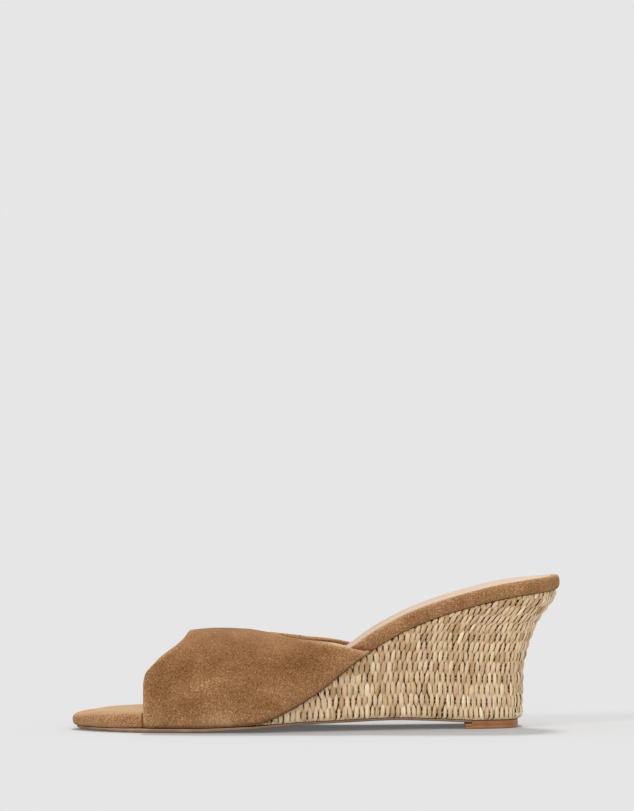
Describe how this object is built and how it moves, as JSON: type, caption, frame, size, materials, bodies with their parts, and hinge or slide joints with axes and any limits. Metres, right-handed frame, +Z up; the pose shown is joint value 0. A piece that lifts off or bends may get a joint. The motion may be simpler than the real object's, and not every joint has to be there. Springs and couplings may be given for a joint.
{
  "type": "wedge mule",
  "caption": "Backless open-toed shoe: a suede band over the forefoot on a padded footbed, with a tapering wedge heel covered in woven raffia.",
  "frame": {"origin": "centre of the shoe's box, on the floor that it stands on", "axes": "+Z up, +X from the toe towards the heel, +Y towards the inner side of the foot"},
  "size_m": [0.233, 0.0836, 0.0727],
  "materials": {
    "outsole": "smooth moulded sole sheet, tan, satin edge",
    "heel_tip": "moulded top piece, brown, satin",
    "raffia": "natural raffia strips woven in staggered stitches, straw-coloured, dry sheen",
    "suede": "tan suede, brushed nap, matte and mottled",
    "sock_leather": "smooth pale beige lining leather, satin"
  },
  "bodies": {
    "root": {"outsole": "outsole", "heel_tip": "heel_tip", "wedge": "raffia", "footbed": "suede", "insole_sock": "sock_leather", "upper": "suede"}
  },
  "joints": []
}
